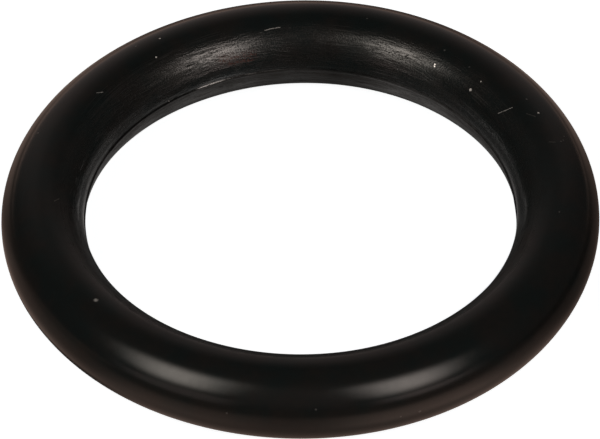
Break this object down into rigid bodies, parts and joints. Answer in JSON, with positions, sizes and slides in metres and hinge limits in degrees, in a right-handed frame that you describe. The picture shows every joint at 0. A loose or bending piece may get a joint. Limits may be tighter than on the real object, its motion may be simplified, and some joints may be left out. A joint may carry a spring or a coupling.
{
  "type": "rubber o-ring",
  "caption": "Black rubber o-ring with a round section and a fine trimmed moulding flash around its inside.",
  "frame": {"origin": "centre of the ring: on its axis, in the middle plane of the round section, where the inner parting line runs", "axes": "+Z along the ring's axis, up when the ring lies flat; X and Y are any two directions in its plane"},
  "size_m": [0.025, 0.025, 0.0034],
  "materials": {
    "rubber": "satin"
  },
  "bodies": {
    "root": {"o_ring": "rubber"}
  },
  "joints": []
}
